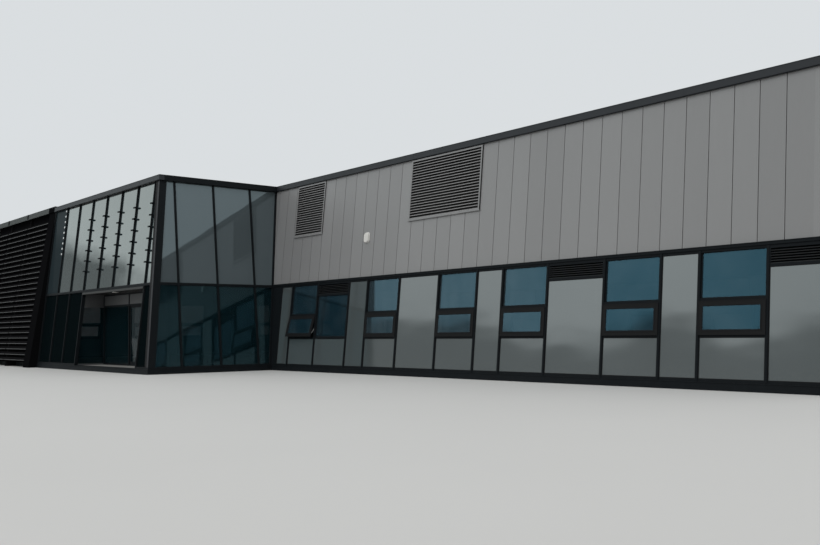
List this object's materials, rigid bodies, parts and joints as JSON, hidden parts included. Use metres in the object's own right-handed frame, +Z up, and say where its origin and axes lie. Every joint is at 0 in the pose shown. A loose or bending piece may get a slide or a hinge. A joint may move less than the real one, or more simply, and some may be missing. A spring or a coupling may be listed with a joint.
{
  "type": "scale model of a school building at 1:2",
  "caption": "School building at half size: long clad wing over a glazed ground floor, glass entrance hall and dark louvre screen, all with walls that lean inwards",
  "frame": {"origin": "on the ground under the middle of the building's footprint, on the underside of the floor of the long wing", "axes": "+X along the long front to the right, +Y into the building away from the entrance side, +Z up"},
  "size_m": [24.397, 9.489, 4.1],
  "materials": {
    "light_cladding": "satin warm grey coil coated sheet",
    "dark_metal": "satin anthracite powder coat",
    "gloss_panel": "smooth glossy grey spandrel panel",
    "window_glass": "blue tinted solar glass",
    "louvre_metal": "satin grey louvre blades",
    "grey_metal": "satin light grey pressed sheet",
    "black_screen": "satin black coated blades",
    "wall_render": "plain wall core",
    "concrete": "smooth concrete",
    "roof_sheet": "grey single ply roof sheet",
    "pale_plastic": "off-white moulded plastic"
  },
  "bodies": {
    "root": {"front_cladding": "light_cladding", "rear_cladding": "light_cladding", "front_plinth": "dark_metal", "rear_plinth": "dark_metal", "band_flashing": "dark_metal", "front_fascia": "dark_metal", "rear_fascia": "dark_metal", "wing_front_frame": "dark_metal", "end_frames": "dark_metal", "back_frame": "dark_metal", "corner_posts": "dark_metal", "wing_front_sashes": "dark_metal", "rear_sashes": "dark_metal", "hall_front_frame": "dark_metal", "hall_side_frame": "dark_metal", "strip_louvres": "dark_metal", "mullion_brackets": "dark_metal", "porch_frame": "dark_metal", "entrance_doors": "dark_metal", "wing_front_panels": "gloss_panel", "rear_panels": "gloss_panel", "wing_front_glass": "window_glass", "rear_glass": "window_glass", "hall_lower_glass": "window_glass", "hall_upper_glass": "window_glass", "porch_glass": "window_glass", "plant_louvres": "louvre_metal", "porch_lintel": "grey_metal", "porch_header": "grey_metal", "porch_side_walls": "grey_metal", "porch_soffit": "grey_metal", "screen_fascia": "grey_metal", "screen_blades": "black_screen", "screen_posts": "black_screen", "screen_end_panel": "black_screen", "screened_wall": "black_screen", "wing_front_wall": "wall_render", "end_walls": "wall_render", "back_wall": "wall_render", "upper_cross_wall": "wall_render", "hall_floor": "concrete", "wing_floor": "concrete", "upper_floor": "concrete", "hall_roof": "roof_sheet", "wing_roof": "roof_sheet", "bell_box": "pale_plastic", "porch_light": "pale_plastic"}
  },
  "joints": []
}
